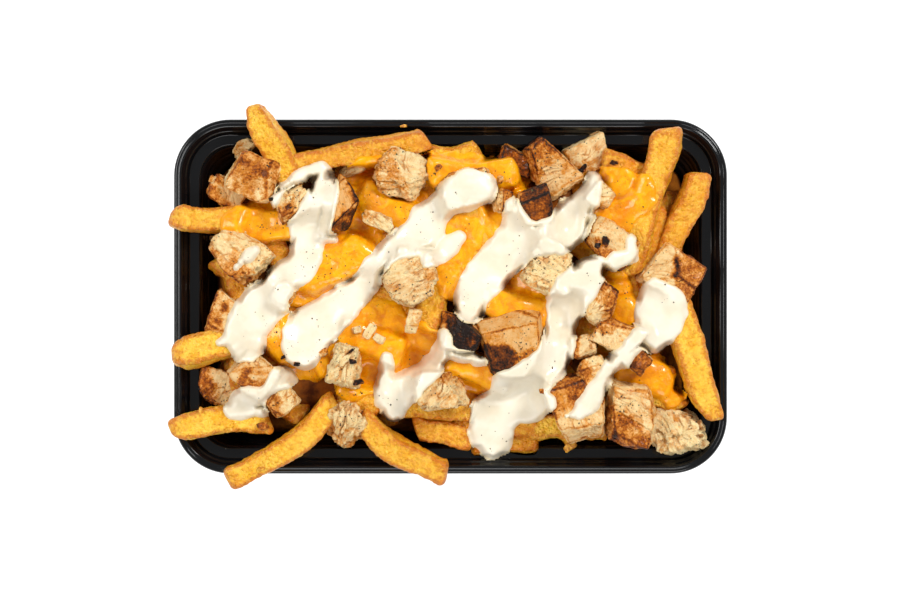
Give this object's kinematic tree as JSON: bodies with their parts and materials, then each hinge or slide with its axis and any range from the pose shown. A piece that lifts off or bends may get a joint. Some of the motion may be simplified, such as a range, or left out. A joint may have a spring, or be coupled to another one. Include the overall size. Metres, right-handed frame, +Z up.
{
  "type": "tray of loaded chicken fries",
  "caption": "Rectangular black takeaway tray heaped with golden fries under melted cheese, diced grilled chicken and ribbons of white garlic sauce.",
  "frame": {"origin": "centre of the tray's flat underside, on the surface it stands on", "axes": "+X along the tray's long side, +Y across it, +Z up"},
  "size_m": [0.2258, 0.1553, 0.0677],
  "materials": {
    "tray_plastic": "glossy black moulded plastic",
    "fries_and_sauce": "fried potato under melted cheese and white garlic sauce",
    "grilled_chicken": "seared, peppered chicken with pale cut faces"
  },
  "bodies": {
    "root": {"tray": "tray_plastic", "fries": "fries_and_sauce", "chicken_01": "grilled_chicken", "chicken_02": "grilled_chicken", "chicken_03": "grilled_chicken", "chicken_04": "grilled_chicken", "chicken_05": "grilled_chicken", "chicken_06": "grilled_chicken", "chicken_07": "grilled_chicken", "chicken_08": "grilled_chicken", "chicken_09": "grilled_chicken", "chicken_10": "grilled_chicken", "chicken_11": "grilled_chicken", "chicken_12": "grilled_chicken", "chicken_13": "grilled_chicken", "chicken_14": "grilled_chicken", "chicken_15": "grilled_chicken", "chicken_16": "grilled_chicken", "chicken_17": "grilled_chicken", "chicken_18": "grilled_chicken", "chicken_19": "grilled_chicken", "chicken_20": "grilled_chicken", "chicken_21": "grilled_chicken", "chicken_22": "grilled_chicken", "chicken_23": "grilled_chicken", "chicken_24": "grilled_chicken", "chicken_25": "grilled_chicken", "chicken_26": "grilled_chicken", "chicken_27": "grilled_chicken", "chicken_28": "grilled_chicken", "chicken_29": "grilled_chicken", "chicken_30": "grilled_chicken", "chicken_31": "grilled_chicken", "chicken_32": "grilled_chicken", "chicken_33": "grilled_chicken", "chicken_34": "grilled_chicken", "chicken_35": "grilled_chicken", "chicken_36": "grilled_chicken", "chicken_37": "grilled_chicken", "chicken_38": "grilled_chicken", "chicken_39": "grilled_chicken"}
  },
  "joints": []
}
